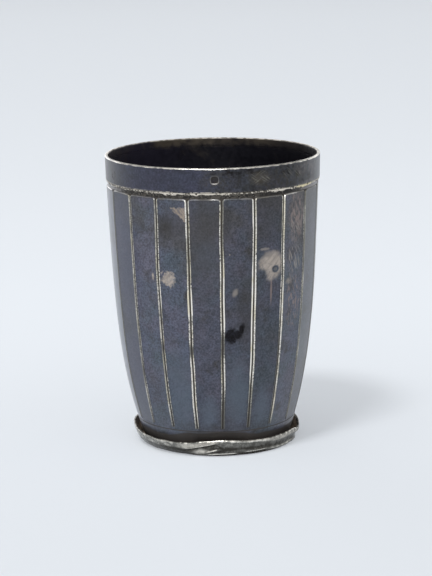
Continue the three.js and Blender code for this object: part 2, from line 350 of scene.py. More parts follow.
# Marks. A spot's row: angle in degrees, height, half width and half height in mm, raggedness of its outline,
# grain of that per mm, softness, lean in degrees. A streak's row: the same first four, lean, fineness, draw,
# and where its noise is cut.
wallMarks = {
    # Clouds in the tarnish in the order they are laid: colour, share, spots
    "clouds": (
        ("bloom", 0.7, (
            (-27, 22, 4.6, 15, 0.8, 0.25, 0.8), (9.5, 21, 4, 11, 0.8, 0.25, 0.8),
            (-9, 15, 3, 5, 0.8, 0.25, 0.8), (27, 16, 3, 6, 0.8, 0.25, 0.8),
            (-25, 18, 3.6, 6, 0.6, 0.25, 0.8))),
        ("sideBlue", 0.38, ((-63, 68, 6, 26, 0.9, 0.2, 0.7), (-63, 26, 6, 22, 0.9, 0.2, 0.7))),
        ("tarnishOlive", 0.6, (
            (-9, 73, 4.6, 15, 0.8, 0.25, 0.7), (-25, 80, 3.6, 6, 0.9, 0.3, 0.7),
            (171, 66, 4.4, 13, 0.8, 0.25, 0.7))),
        ("tarnishBrown", 0.3, (
            (-9, 82, 4.2, 6, 0.8, 0.3, 0.8), (27, 81, 4.2, 7, 0.8, 0.3, 0.8),
            (-45, 20, 3.4, 8, 0.8, 0.3, 0.8), (0, 9.5, 20, 1.6, 0.6, 0.4, 0.8))),
        ("tarnishBrown", 0.6, (
            (12.1, 46.8, 0.5, 2, 0.4, 0.6, 0.6, 6), (14.6, 47.9, 1.5, 0.35, 0.3, 0.8, 0.6, -12),
            (-31.6, 78.6, 2.6, 4.4, 0.9, 0.3, 0.6), (13, 50, 3, 11, 0.9, 0.22, 0.7),
            (54.1, 20.1, 0.5, 0.5, 0.2), (48.2, 18.4, 0.4, 0.4, 0.2), (-32.6, 76.7, 0.7, 0.6, 0.3),
            (-160, 52, 3.6, 7, 0.9, 0.3, 0.6), (118, 60, 3.2, 9, 0.9, 0.3, 0.6),
            (-95, 74, 3.4, 5, 0.9, 0.3, 0.6))),
    ),
    "tan": (
        (-30, 61.3, 2.1, 2.3, 1.1, 1.0, 0.25), (28.4, 64.7, 4.3, 4.5, 0.4, 0.4, 0.3),
        (-39.8, 61.7, 0.4, 1.1, 0.4, 0.9, 0.4), (152, 70, 2.2, 3, 0.9, 0.6, 0.3),
        (-118, 36, 2, 1.6, 0.9, 0.7, 0.3), (98, 27, 1, 1.7, 0.9, 0.8, 0.3),
        (4.2, 69.6, 0.16, 0.16, 0.1, 0.5, 0.5)),
    "tanBites": ((22.2, 61.6, 2, 2.6, 0.5, 0.5, 0.35), (31.2, 63.6, 1.2, 1.2, 0.2, 0.8, 0.25)),
    "ringMiddle": (31.2, 63.6, 0.55, 0.55, 0.2, 0.8, 0.4),  # one spot of tan left inside the second bite
    "stains": (
        (4.6, 42.4, 2.2, 2.5, 0.5, 0.4, 0.3), (8.6, 42.8, 1.5, 1.5, 0.5, 0.5, 0.4),
        (11, 44.3, 0.9, 1.9, 0.4, 0.6, 0.5, 12)),
    "paleRubs": (
        (7, 56.8, 0.7, 1.2, 0.6, 0.8, 0.6, 20), (41.2, 58.6, 1.1, 0.8, 1.4, 1.1, 0.7),
        (24, 70.6, 1.5, 0.4, 0.9, 0.9, 0.6), (29, 67.4, 3, 2, 0.6, 0.6, 0.6)),
    "paleStreaks": ((45, 65.5, 3, 5, -20, 1.5, 0.2, 0.5, 0.6), (46, 77, 2.6, 4, -30, 1.5, 0.3, 0.5, 0.62)),
    "rustStreaks": ((46.4, 80, 2.8, 7, -4, 1.1, 0.4, 0.44, 0.58), (46, 52, 3, 8, -4, 1.1, 0.4, 0.48, 0.62)),
    "rustRun": (28.6, 56.5, 0.3, 4, 0.5, 0.5, 0.6),
    "channelRubs": (
        (62, 88.8, 7, 3, 0.8, 0.4, 0.6), (-76, 88.8, 7, 3, 0.8, 0.4, 0.6), (145, 88.8, 8, 3, 0.8, 0.4, 0.6)),
    "soiled": (36, 88.7, 6.5, 2, 0.5, 0.4, 0.5),
    "shinyFoot": (-5, 7, 11, 6, 0.3, 0.3, 0.4),
}
# Triangle of rubbed silver beside a groove
rubbedCorner = {
    "at": (-19.0, 85.0),  # angle in degrees, height in mm
    "edges": ((0.0, 1.0, 0.0), (1.0, 0.0, 0.0), (-0.70, -0.72, 0.0)),  # directions out across its sides
    "limits": (0.0, 0.1, 3.4),  # how far out each side lies, in mm
    "soft": 0.25,
    "waver": (1.3, 1.8, 0.0),
}
wallLook = {
    "metallic": 0.95,
    "roughness": (0.40, 0.54),  # by the grain of the tarnish
    "dullRoughness": 0.75,
    "wornRoughness": 0.36,
    "bumps": (0.9, 0.14, 0.2 * mm),
    "channelFrom": (87.95, 88.25),  # mm up, where the grooves' grime turns into the channel's dirt
    "linesFrom": (9.0, 18.0),  # mm up, where the worn lines come out bright
    "coverFrom": (8.8, 10.8),  # mm up, where they come out at all
    "lineStart": (-0.25, -0.11),  # mm in from a panel's edge, where a line starts
    "grimeStart": (-0.14, -0.30),  # and where the grime of the groove does
    "shadeBeside": (0.85, 0.2),  # and where painted shade darkens the panel towards it
    "lineSpread": (173.0, 91.0, 57.0),  # how far apart the lines lie in the noise, in mm
}


# Rubbed corner: inside three straight edges, each wavering with noise
def cornerMask():
    noise = maths("SUBTRACT", cloud(1.1, 3.0, 0.6), 0.5)
    away = fromMark(*rubbedCorner["at"], 0.0)
    wavering = vector("ADD", away, vector("SCALE", rubbedCorner["waver"], noise))
    soft = rubbedCorner["soft"]
    inside = [ramp(vector("DOT_PRODUCT", wavering, edge), limit + soft, limit - soft)
              for edge, limit in zip(rubbedCorner["edges"], rubbedCorner["limits"])]
    return times(*inside)


# Tan patches: spots less the bites out of them, and the corner. Gives back their mask and colour.
def tanPatches():
    patches = times(marked(wallMarks["tan"]), without(marked(wallMarks["tanBites"])))
    corner = times(cornerMask(), ramp(strokes(-38.0, 1.5, 0.22), 0.36, 0.52, (0.4, 1.0)))
    mask = most(patches, times(corner, 0.8), times(spot(*wallMarks["ringMiddle"]), 0.35))
    colour = blend(ramp(strokes(42.0), 0.35, 0.62), "tanShade", "tan")
    colour = lay(colour, "tanBrown", corner, 0.7)
    return times(mask, ramp(cloud(1.3, 4.0, 0.65), 0.32, 0.55, (0.55, 0.95))), colour


# Worn lines along the panels' edges: wear plus noise, less specks. Each half panel has its own place in the
# noise, so the two lines of a groove wear differently. Gives back their mask, brightness and colour.
def edgeLines(edge, z):
    worn = attribute("lineWear")
    own = vector("ADD", bench["place"], vector("SCALE", wallLook["lineSpread"], attribute("lineSeed")))
    tone = maths("MULTIPLY_ADD", cloud(0.2, 4.0, 0.6, on=own), 0.6, worn)
    speckle = ramp(cloud(2.4, 3.0, 0.6, on=own), 0.40, 0.56)
    speckled = ramp(cloud(0.12, 2.0, shift=(9, 4, 33), on=own), 0.38, 0.60, (0.35, 0.95))
    unbroken = without(times(speckled, without(speckle), ramp(worn, 1.1, 0.8)))
    amount = times(ramp(tone, 0.35, 1.15), unbroken, ramp(z, *wallLook["linesFrom"], (0.35, 1.0)))
    end = maths("MULTIPLY_ADD", amount, 0.15, ramp(worn, 0.95, 1.2, (0.19, 0.31)))
    fading = ramp(edge, end, maths("SUBTRACT", end, 0.18))
    line = times(ramp(edge, *wallLook["lineStart"]), fading, without(attribute("topEdge")))
    yellowed = ramp(cloud(0.12, 2.0, shift=(51, 14, 3), on=own), 0.48, 0.64)
    silver = lay("bareSilver", "yellowSilver", yellowed, 0.6)
    return line, amount, blend(amount, "dullLine", silver)


# Grime of the grooves, and in the channel a mottled dirt with bits of solder, rubbed pale in places. Gives
# back its colour and the rubbed share.
def grooveGrime(inChannel, mottled):
    bits = ramp(cloud(1.3, 4.0, 0.7, shift=(6, 17, 4)), 0.60, 0.68)
    brightened = times(inChannel, marked(wallMarks["channelRubs"]))
    colour = lay(blend(mottled, "black", "channel"), "solder", bits, 0.6)
    colour = lay(colour, "black", spot(*wallMarks["soiled"]), 0.8)
    colour = lay(colour, "bandPale", brightened, 0.6)
    return blend(inChannel, "grime", colour), brightened


# Outside of the wall: tarnish on the panels, bright worn lines along their edges, grime in the grooves
def panelFinish():
    _, z = newFinish("panel_tarnish")
    edge = attribute("edgeDistance")
    colour, grain = tarnish(z)
    # Painted reflection: each panel's tarnish is made lighter or darker by its own tone
    colour = vector("SCALE", colour, attribute("panelReflectionTone"))
    for name, share, marks in wallMarks["clouds"]:
        colour = lay(colour, name, marked(marks), share)
    rubs = most(marked(wallMarks["paleRubs"]), marked(wallMarks["paleStreaks"], streaks))
    colour = lay(colour, "tan", rubs, 0.6)
    rust = most(marked(wallMarks["rustStreaks"], streaks), spot(*wallMarks["rustRun"]))
    colour = lay(colour, "rust", rust, 0.85)
    tanMask, tanColour = tanPatches()
    colour = blend(tanMask, colour, tanColour)
    stain = marked(wallMarks["stains"])
    colour = lay(colour, "black", stain, ramp(grain, 0.3, 0.6, (1.0, 0.8)))
    inChannel = ramp(z, *wallLook["channelFrom"])
    inGroove = ramp(edge, *wallLook["grimeStart"])
    mottled = ramp(cloud(1.1, 4.0, 0.65), 0.38, 0.62)
    # Painted shade: each panel is darkened with brown towards its grooves and upper edge
    beside = ramp(edge, *wallLook["shadeBeside"])
    colour = lay(colour, "tarnishBrown", beside, ramp(mottled, 0.0, 1.0, (0.5, 0.15)))
    grooveColour, channelRub = grooveGrime(inChannel, mottled)
    colour = blend(inGroove, colour, grooveColour)
    line, amount, lineColour = edgeLines(edge, z)
    shown = (ramp(amount, 0.0, 0.5, (0.6, 1.0)), ramp(z, *wallLook["coverFrom"], (0.2, 1.0)))
    colour = lay(colour, lineColour, line, *shown)
    # Foot: a dark incised line, and below it dirt with painted shade of the recess behind the moulding
    fromLine = maths("ABSOLUTE", maths("SUBTRACT", z, attribute("footLine")))
    dirtAndShade = ramp(maths("SUBTRACT", z, attribute("dirtShadeLine")), 0.45, -0.55, (0.0, 0.95))
    footDark = most(times(ramp(fromLine, 0.34, 0.10), 0.85), dirtAndShade)
    colour = lay(colour, "footBrown", footDark)
    # Dull where there is tan, grime, or dirt and painted shade at the foot, apart from the worn lines
    wear = times(line, amount)
    dirty = times(inGroove, without(channelRub))
    footDull = times(footDark, mixValue(spot(*wallMarks["shinyFoot"]), 0.72, 0.28))
    dull = most(times(tanMask, 0.6), times(dirty, mixValue(inChannel, 0.7, 0.3)), footDull)
    dull = times(dull, without(wear))
    rough = mixValue(dull, ramp(grain, 0.25, 0.75, wallLook["roughness"]), wallLook["dullRoughness"])
    rough = mixValue(wear, rough, wallLook["wornRoughness"])
    filmGrain = times(ramp(grain, 0.36, 0.64, (0.22, 0.0)), attribute("filmGrain"))
    film(most(dull, stain, footDark, times(dirty, 0.9), filmGrain))
    return paint(colour, wallLook, rough, maths("SUBTRACT", wallLook["metallic"], dull))


wall = {
    "panels": 20,
    "thickness": 0.9 * mm,
    "panelTop": 87.7 * mm,
    "panelBottom": 8.9 * mm,
    "topRadius": 35.55 * mm,  # outside of the panels' upper ends
    "footRadius": 27.05 * mm,  # outside of their lower ends
    "taperShare": 0.375,  # share of the narrowing that runs straight
    "curlPower": 3.8,  # how late the rest curls in
    "grooveDepth": 0.3 * mm,
    "grooveWidth": 0.9 * mm,  # between the edges of neighbouring panels
    "grooveEnd": (-0.1 * mm, 0.8 * mm),  # above the panels' lower ends, where the grooves run out
    "edgeRun": 0.28 * mm,  # width of the slope from a groove's floor up to a panel
    "corner": 0.8 * mm,  # radius of a panel's upper corners
    "burr": (0.04 * mm, 0.08 * mm, 0.12 * mm),  # lip along a panel's edge: height, place and half width
    "flatness": 0.8,  # 1 is a flat facet, 0 follows the round of the wall
    "flatEnd": (-0.6 * mm, 0.6 * mm),  # above the panels' lower ends, where the flats run out
    "wander": 0.17 * mm,  # how far a groove strays from straight
    "ripple": 0.07 * mm,  # hand-worked unevenness of the sheet
    "turnRadius": 4.0 * mm,  # outside of the turned-in bottom edge
    "turnedEdge": 3.2 * mm,  # flat width of that edge
    "footLine": (8.5 * mm, 0.15 * mm, 0.08 * mm, 0.13 * mm),  # incised: height, half width, depth, wander
    "dirtShadeDrop": (0.1, 1.75),  # mm below that line where the foot's dirt and painted shade start, in front and elsewhere
    "dirtShadeFront": (-40, -22, 12, 28),  # window in degrees that counts as in front
    # Lightness painted on the tarnish of the panels that face the front, standing in for how each facet
    # reflects the light. Panel 0 starts at the front and they count on to the right.
    "panelReflectionTones": {15: 1.6, 16: 0.7, 17: 1.4, 18: 1.32, 19: 0.95, 0: 0.9, 1: 0.86, 2: 1.2, 3: 0.76},
    # painted reflection lightness of the other panels, drawn at random between these
    "otherReflectionTones": (0.88, 1.15),
    "evenFilm": (15,),  # panels whose film has no grain
    "roundPanels": {15: 0.25},  # panels left rounder than the rest, and the share of their flatness
    # Dullness of the panels' upper lines
    "dullTops": {15: 0.97, 16: 0.65, 17: 0.78, 18: 0.84, 19: 0.93, 0: 0.88, 1: 0.8, 2: 0.6},
    "otherTops": 0.75,
    # Brightness that wear has given the two lines of the grooves facing the front: height in mm, left, right
    "wornLines": {
        16: ((50, 0.1, 0.15),),
        17: ((12, 0.45, 0.4), (26.5, 0.35, 0.5), (28.5, 0.1, 0.1), (30.5, 0.35, 0.45), (45, 0.32, 0.45),
             (60, 0.36, 0.5), (75, 0.32, 0.42), (86, 0.5, 0.35)),
        18: ((12, 0.45, 0.5), (27, 0.5, 0.6), (29.2, 0.2, 0.1), (31, 0.35, 0.6), (36, 0.35, 0.65),
             (38, 0.15, 0.1), (40, 0.45, 0.5), (50, 0.45, 0.45), (58, 0.55, 0.95), (66, 0.45, 0.75),
             (86, 0.3, 0.6)),
        19: ((12, 0.9, 0.9), (34, 0.95, 0.9), (36, 0.2, 0.2), (38.5, 0.2, 0.2), (40, 0.8, 0.8),
             (46, 0.8, 0.8), (47.6, 0.4, 0.2), (49, 1.1, 1.1), (57, 1.1, 1.1), (61, 0.6, 0.7),
             (68, 0.4, 0.45), (75, 0.45, 0.45), (77, 0.85, 0.6), (86, 0.8, 0.55)),
        0: ((11, 0.05, 0.05), (17, 0.3, 0.25), (28, 0.65, 0.75), (33.5, 0.55, 0.9), (36, 0.3, 0.25),
            (42.5, 0.35, 0.3), (45, 0.75, 1.1), (64, 0.75, 1.0), (69, 0.75, 0.4), (86, 0.7, 0.3)),
        1: ((11, 0.3, 0.0), (16, 0.38, 0.25), (25, 0.45, 0.4), (28, 1.1, 0.8), (57, 1.22, 1.0),
            (65, 1.1, 0.85), (68, 0.85, 0.75), (77, 0.9, 0.7), (80, 1.1, 0.65), (86, 1.05, 0.55)),
        2: ((12, 0.2, 0.55), (28, 0.25, 0.6), (40, 0.3, 0.65), (45, 0.5, 0.85), (52, 0.8, 0.75),
            (60, 0.65, 0.5), (64, 0.5, 0.85), (86, 0.55, 0.95)),
        3: ((12, 0.35, 0.2), (30, 0.45, 0.25), (58, 0.5, 0.3), (68, 0.3, 0.2), (76, 0.55, 0.3),
            (86, 0.3, 0.2)),
        4: ((50, 0.1, 0.1),),
    },
    "otherWear": (0.1, 1.0),
    # Grid: columns in mm from a groove's middle, then in shares of the way on to the panel's middle. Rows
    # between the turn, two stops at the panels' lower ends, two at their upper ends, and the wall's top.
    "columns": (0, 0.1, 0.2, 0.3, 0.4, 0.5, 0.62, 0.8, 1.1),
    "wideColumns": (0.35, 0.7, 1.0),
    "stops": (-0.9 * mm, 1.2 * mm, -2.2 * mm, 0.7 * mm),
    "rows": (6, 20, 58, 24, 8),
    "turnRows": 11,
    "backRows": 36,
}


# Radius of the panels' outside: straight taper plus a power of the way down, then a cone below the panels
def panelRadius(z):
    span = wall["panelTop"] - wall["panelBottom"]
    narrowing = wall["topRadius"] - wall["footRadius"]
    share, power = wall["taperShare"], wall["curlPower"]
    down = np.clip((wall["panelTop"] - z) / span, 0.0, 1.0)
    below = np.maximum(0.0, wall["panelBottom"] - z)
    slope = narrowing * (share + (1 - share) * power) / span
    return wall["topRadius"] - narrowing * (share * down + (1 - share) * down**power) - slope * below


# The turn at the wall's bottom edge: an arc that leaves the cone and ends flat on the foot plate
footAngle = math.atan2(float(panelRadius(0.0) - panelRadius(-mm)), mm)
turnHeight = plateTop + wall["turnRadius"]
turnStart = turnHeight - wall["turnRadius"] * math.sin(footAngle)
turnCentre = float(panelRadius(turnStart)) - wall["turnRadius"] * math.cos(footAngle)
turnInside = wall["turnRadius"] - wall["thickness"]
turnedEdgeRadius = turnCentre - wall["turnedEdge"]


# Radius on the turn at a height, outside or inside: a circle about the turn's centre
def turnAt(z, radius):
    return turnCentre + math.sqrt(radius**2 - (turnHeight - z) ** 2)


# Wall's profile: flat edge, turn and face up to the top, then the same down again inside by its thickness
def wallProfile():
    low, high = wall["panelBottom"], wall["panelTop"]
    sweep = np.linspace(0, math.pi / 2 - footAngle, wall["turnRows"])
    stops = [turnStart, *np.add((low, low, high, high), wall["stops"]), wallTop]
    spans = zip(stops, stops[1:], wall["rows"])
    faceZ = np.concatenate([np.linspace(start, end, count)[1:] for start, end, count in spans])
    backZ = np.linspace(wallTop, turnHeight - turnInside * math.sin(footAngle), wall["backRows"])[:-1]
    edge, back = [turnedEdgeRadius], sweep[::-1]
    outR = np.concatenate([edge, turnCentre + wall["turnRadius"] * np.sin(sweep), panelRadius(faceZ)])
    outZ = np.concatenate([[plateTop], turnHeight - wall["turnRadius"] * np.cos(sweep), faceZ])
    backR = panelRadius(backZ) - wall["thickness"]
    inR = np.concatenate([backR, turnCentre + turnInside * np.sin(back), edge])
    inZ = np.concatenate([backZ, turnHeight - turnInside * np.cos(back), [plateTop + wall["thickness"]]])
    return outR, outZ, inR, inZ


# One value for each panel: the same or a row of them, with some panels' own values put in
def perPanel(others, own):
    each = np.zeros(wall["panels"]) + others
    each[list(own)] = list(own.values())
    return each


# Wall: the profile turned round, with grooves cut between flattened panels. How far a point lies inside a
# panel is its signed distance to a rectangle with rounded upper corners in (across, height).
def wallPiece(outside, inside):
    outR, outZ, inR, inZ = wallProfile()
    r, z = np.concatenate([outR, inR])[:, None], np.concatenate([outZ, inZ])[:, None]
    rows, isOut = len(r), (np.arange(len(r)) < len(outR)).astype(float)[:, None]
    panels, pitch = wall["panels"], 2 * math.pi / wall["panels"]
    # Columns: distances from the nearest groove, close together at the groove, mirrored about each panel
    near = np.array(wall["columns"]) * mm
    halfWidth = r * pitch / 2
    far = near[-1] + np.array(wall["wideColumns"]) * (halfWidth - near[-1])
    gap = np.concatenate([np.broadcast_to(near, (rows, len(near))), far], axis=1)
    across = np.concatenate([gap, 2 * halfWidth - gap[:, -2:0:-1]], axis=1)
    panelCols = across.shape[1]
    panelOf = np.repeat(np.arange(panels), panelCols)
    secondHalf = np.tile(np.arange(panelCols) > panelCols // 2, panels)
    share = np.tile(across / (2 * halfWidth), panels)
    # Each groove strays a little from straight: a slow wave of height with its own phase
    seeds = 300 + np.arange(panels + 1) % panels
    stray = np.stack([ripple(0.0, z[:, 0], seed, length=6 * mm) for seed in seeds], 1)
    strayShare = (1 - share) * stray[:, panelOf] + share * stray[:, panelOf + 1]
    angle = (panelOf + share) * pitch + wall["wander"] / r * strayShare
    side = np.abs(0.5 - share) * 2 * halfWidth
    halfPanel = halfWidth - wall["grooveWidth"] / 2
    qx = side - (halfPanel - wall["corner"])
    qz = z - (wall["panelTop"] - wall["corner"])
    fromCorner = np.hypot(np.maximum(qx, 0), np.maximum(qz, 0)) + np.minimum(np.maximum(qx, qz), 0)
    into = wall["corner"] - fromCorner
    # Relief: grooves that run out above the plain foot, a burr along their edges, faces flattened to a chord
    aboveFoot = z - wall["panelBottom"]
    grooved = smoothStep(*wall["grooveEnd"], aboveFoot)
    raised = smoothStep(-wall["edgeRun"], 0, into)
    cut = wall["grooveDepth"] * (1 - raised) * grooved
    burrHigh, burrAt, burrWide = wall["burr"]
    burr = burrHigh * bell(into - burrAt, burrWide) * grooved
    thetaEdge = halfPanel / r
    chord = r * (np.cos(thetaEdge) / np.cos(np.minimum(side / r, thetaEdge)) - 1)
    flatness = wall["flatness"] * perPanel(1.0, wall["roundPanels"])
    flat = flatness[panelOf] * raised * smoothStep(*wall["flatEnd"], aboveFoot)
    lineAt, lineWide, lineDepth, lineWander = wall["footLine"]
    lineHeight = lineAt + lineWander * ripple(angle, 0.0, seed=12, waves=8, turns=7)
    incised = lineDepth * bell(z - lineHeight, lineWide)
    uneven = wall["ripple"] * ripple(angle, z, seed=11)
    uneven = uneven * window(z, plateTop + 2 * mm, plateTop + 8 * mm, bandLow - 6 * mm, bandLow)
    radius = r + isOut * (burr + flat * chord - cut - incised) + uneven
    inFront = window(degreesFrom(np.degrees(angle), 0), *wall["dirtShadeFront"])
    dirtShadeDrop = wall["dirtShadeDrop"][1] + (wall["dirtShadeDrop"][0] - wall["dirtShadeDrop"][1]) * inFront
    # Wear of the lines, two to each panel
    draw = np.random.default_rng(5)
    lineSeeds = draw.uniform(0, 1, panels * 2)
    wear = np.tile(draw.uniform(*wall["otherWear"], panels * 2), (rows, 1))
    for groove, steps in wall["wornLines"].items():
        at, left, right = np.array(steps).T
        wear[:, (groove * 2 - 1) % (panels * 2)] = np.interp(z[:, 0] / mm, at, left)
        wear[:, groove * 2] = np.interp(z[:, 0] / mm, at, right)
    half = panelOf * 2 + secondHalf
    paintedLightTones = perPanel(draw.uniform(*wall["otherReflectionTones"], panels), wall["panelReflectionTones"])
    tops = perPanel(wall["otherTops"], wall["dullTops"])
    values = {
        "panelReflectionTone": paintedLightTones[panelOf][None, :],
        "filmGrain": (~np.isin(panelOf, wall["evenFilm"]))[None, :],
        "edgeDistance": np.where(isOut > 0, into / mm + 4 * (1 - grooved), 4.0),
        "lineSeed": lineSeeds[half][None, :],
        "lineWear": wear[:, half],
        "topEdge": smoothStep(-0.3 * mm, 0.3 * mm, qz - qx) * tops[panelOf],
        "footLine": lineHeight / mm,
        "dirtShadeLine": lineHeight / mm - dirtShadeDrop + 0.25 * ripple(angle, 0.0, seed=13, waves=10, turns=12),
    }
    rowMaterial = np.arange(rows) >= len(outR) - 1
    piece = skin("panelledWall", radius, angle, z, [outside, inside], rowMaterial, values=values, sharp=75)
    dress(piece, "panelled_wall")


insideLook = {
    "metallic": 0.8,
    "roughness": (0.40, 0.58),
    "bumps": (0.5, 0.15, 0.2 * mm),
    "bluish": (0.0, -26.0),  # mm to the right, from black to blue
    "middle": (26.0, 16.0),  # mm to either side, within which it was rubbed most
    "brightened": (94.6, 97.0),  # mm up
    "deep": (84.0, 66.0),  # mm up, from black to the duller grey below
    "rim": (97.66, 97.86),  # mm up
}


# Inside of the beaker: near-black tarnish, brown where it was rubbed just under the lip, a bright rim
def insideFinish():
    x, z = newFinish("inside_tarnish")
    level = maths("ADD", z, ramp(cloud(0.4, 3.0), 0.3, 0.7, (-0.5, 0.5)))
    middle = ramp(maths("ABSOLUTE", x), *insideLook["middle"], (0.3, 1.0))
    patchy = ramp(cloud(0.07, 4.0, 0.6), 0.38, 0.62)
    colour = blend(ramp(x, *insideLook["bluish"]), "insideBlack", "insideBlue")
    colour = lay(colour, "insideBrown", ramp(level, *insideLook["brightened"]), patchy, middle)
    colour = lay(colour, "insideBrown", ramp(cloud(0.12, 4.0, 0.6, 1.0), 0.5, 0.75), 0.25)
    drift = ramp(cloud(0.09, 5.0, 0.6, 0.8), 0.25, 0.7, (0.45, 1.0))
    colour = lay(colour, "insideDeep", ramp(z, *insideLook["deep"]), drift)
    broken = ramp(cloud(0.5, 3.0), 0.38, 0.62, (0.15, 0.9))
    colour = lay(colour, "bareSilver", ramp(z, *insideLook["rim"]), broken)
    return paint(colour, insideLook, ramp(cloud(0.7), 0.3, 0.7, insideLook["roughness"]))


band = {
    "taper": 0.15 * mm,  # lower edge narrower by this, in radius
    "lap": 0.5 * mm,  # thickness where it laps the wall
    "lip": 1.05 * mm,  # thickness of the rounded mouth
    "gap": 0.1 * mm,  # solder gap to the wall
    "edgeRound": 0.16 * mm,  # rounding of the lower edge
    "nick": 0.05 * mm,  # depth of the wear along the lip
    "uneven": 0.04 * mm,
    "punchAt": (-3.4, 94.2 * mm),  # plain blank punch: angle in degrees, height
    "punchHalf": 1.35 * mm,
    "punchDepth": 0.13 * mm,
    "rows": (40, 15, 7),  # of the outer face, the lip and the inner face
    "columns": 420,
    "punchColumns": (0.055, 50),  # closer ones there: half span in radians, count
}
# Rows of spots and streaks, as for the wall
bandMarks = {
    "blue": (-36, 94.5, 17, 12, 0.5, 0.15, 0.7),
    "warm": (20.5, 94.2, 2.6, 1.9, 1.2, 0.7, 0.6),
    "dark": (
        (46, 94.6, 2.2, 2.2, 1.1, 0.6, 0.5), (37, 95.8, 4, 1.4, 1.1, 0.5, 0.6),
        (54, 92, 3, 1.4, 1.1, 0.6, 0.6), (8, 96.4, 8, 1.2, 1.0, 0.4, 0.7)),
    "stains": (
        (-70, 93.5, 2.6, 2.2, 0.9, 0.5, 0.6), (-2.5, 94, 3.6, 3.4, 0.8, 0.5, 0.7),
        (30, 93, 9, 3.6, 1.2, 0.3, 0.7), (52, 94, 7, 4, 1.2, 0.35, 0.7)),
    "rubs": (
        (61, 95.2, 5, 2.6, 1.1, 0.55, 0.5), (50, 95.6, 2.2, 1.6, 1.0, 0.6, 0.5),
        (57, 90.5, 5, 0.7, 0.7, 0.7, 0.5)),
    "scratches": ((20, 94.4, 3, 2, 52, 2.2), (20.5, 94.2, 2.8, 2, -55, 2.2), (43, 94.5, 4, 2.6, -48, 2.4)),
    "lipDull": (
        (-84, 97.6, 9, 3, 0.6, 0.3, 0.6), (88, 97.6, 8, 3, 0.6, 0.3, 0.6),
        (-140, 97.6, 7, 3, 0.6, 0.3, 0.6)),
    "solderRuns": (
        (33.5, 89.5, 2.2, 3, 0.6, 0.4, 0.4), (-9.5, 89.5, 3.6, 3, 0.6, 0.4, 0.4),
        (-27, 89.5, 3.4, 3, 0.6, 0.4, 0.4)),
    "solderGaps": (
        (13.5, 89.5, 6.4, 3, 0.7, 0.4, 0.4), (-18, 89.5, 1, 3, 0.6, 0.4, 0.4),
        (42.5, 89.5, 1.6, 3, 0.6, 0.4, 0.4)),
    "solderThin": (
        (-60, 89.5, 13, 3, 0.5, 0.3, 0.4), (110, 89.5, 12, 3, 0.5, 0.3, 0.4),
        (-165, 89.5, 9, 3, 0.5, 0.3, 0.4)),
    "solderGold": (53, 90, 4, 3, 0.6, 0.3, 0.5),
}
bandLook = {
    "metallic": 0.95,
    "roughness": (0.38, 0.5),
    "lipRoughness": 0.3,
    "bumps": (0.9, 0.14, 0.2 * mm),
    "tarnishDrop": 45.0,  # mm, takes the tarnish from that much lower on the wall
    "smear": (90.42, 90.12),  # mm up, where solder has run onto the lower edge
    "lip": (97.53, 97.72),  # mm up, where the worn lip starts
}


# Lip band: tarnish that turns from dark blue at the left to grey and brown at the right, a worn bright lip
def bandFinish():
    _, z = newFinish("band_tarnish")
    colour, grain = tarnish(maths("SUBTRACT", z, bandLook["tarnishDrop"]))
    blue = spot(*bandMarks["blue"])
    colour = blend(0.75, colour, blend(blue, "bandGrey", "bandBlue"))
    blotch = cloud(0.45, 5.0, 0.7, shift=(4, 9, 2))
    uneven = mixValue(blue, ramp(blotch, 0.32, 0.68, (0.3, 1.3)), ramp(blotch, 0.3, 0.7, (0.8, 1.15)))
    colour = vector("SCALE", colour, times(ramp(grain, 0.25, 0.75, (0.65, 1.35)), uneven))
    dark = times(marked(bandMarks["dark"]), ramp(blotch, 0.36, 0.60, (1.0, 0.35)))
    colour = lay(colour, "black", dark, 0.9)
    mottled = ramp(cloud(0.7, 5.0, 0.7), 0.38, 0.66)
    stained = times(marked(bandMarks["stains"]), mottled)
    colour = lay(colour, "channel", stained, 0.7)
    colour = lay(colour, "bandPale", marked(bandMarks["rubs"]), mottled, 0.62)
    colour = lay(colour, "bandWarm", spot(*bandMarks["warm"]), 0.4)
    colour = lay(colour, "dullLine", marked(bandMarks["scratches"], streaks), 0.55)
    runs, gaps = (marked(bandMarks[key]) for key in ("solderRuns", "solderGaps"))
    smear = times(ramp(z, *bandLook["smear"]), ramp(cloud(0.8, 4.0, 0.65), 0.44, 0.58))
    colour = lay(colour, "solder", smear, without(times(gaps, 0.8)), mixValue(runs, 0.45, 0.9))
    # The punch's floor: grime with painted shade; its rim: a painted highlight
    pressed = attribute("punchGrimeAndShade")
    colour = lay(colour, "grime", pressed, 0.5)
    colour = lay(colour, "bareSilver", attribute("punchHighlight"), 0.16)
    worn = cloud(0.6, 4.0, 0.6)
    level = maths("ADD", z, ramp(worn, 0.3, 0.7, (-0.10, 0.10)))
    lip = times(ramp(level, *bandLook["lip"]), ramp(worn, 0.28, 0.48, (0.45, 1.0)))
    lip = times(lip, without(times(marked(bandMarks["lipDull"]), 0.6)))
    colour = lay(colour, "bareSilver", lip)
    rough = mixValue(lip, ramp(grain, 0.25, 0.75, bandLook["roughness"]), bandLook["lipRoughness"])
    film(most(times(stained, 0.9), dark, times(pressed, 0.8), mixValue(blue, 0.36, 0.2)))
    return paint(colour, bandLook, rough)


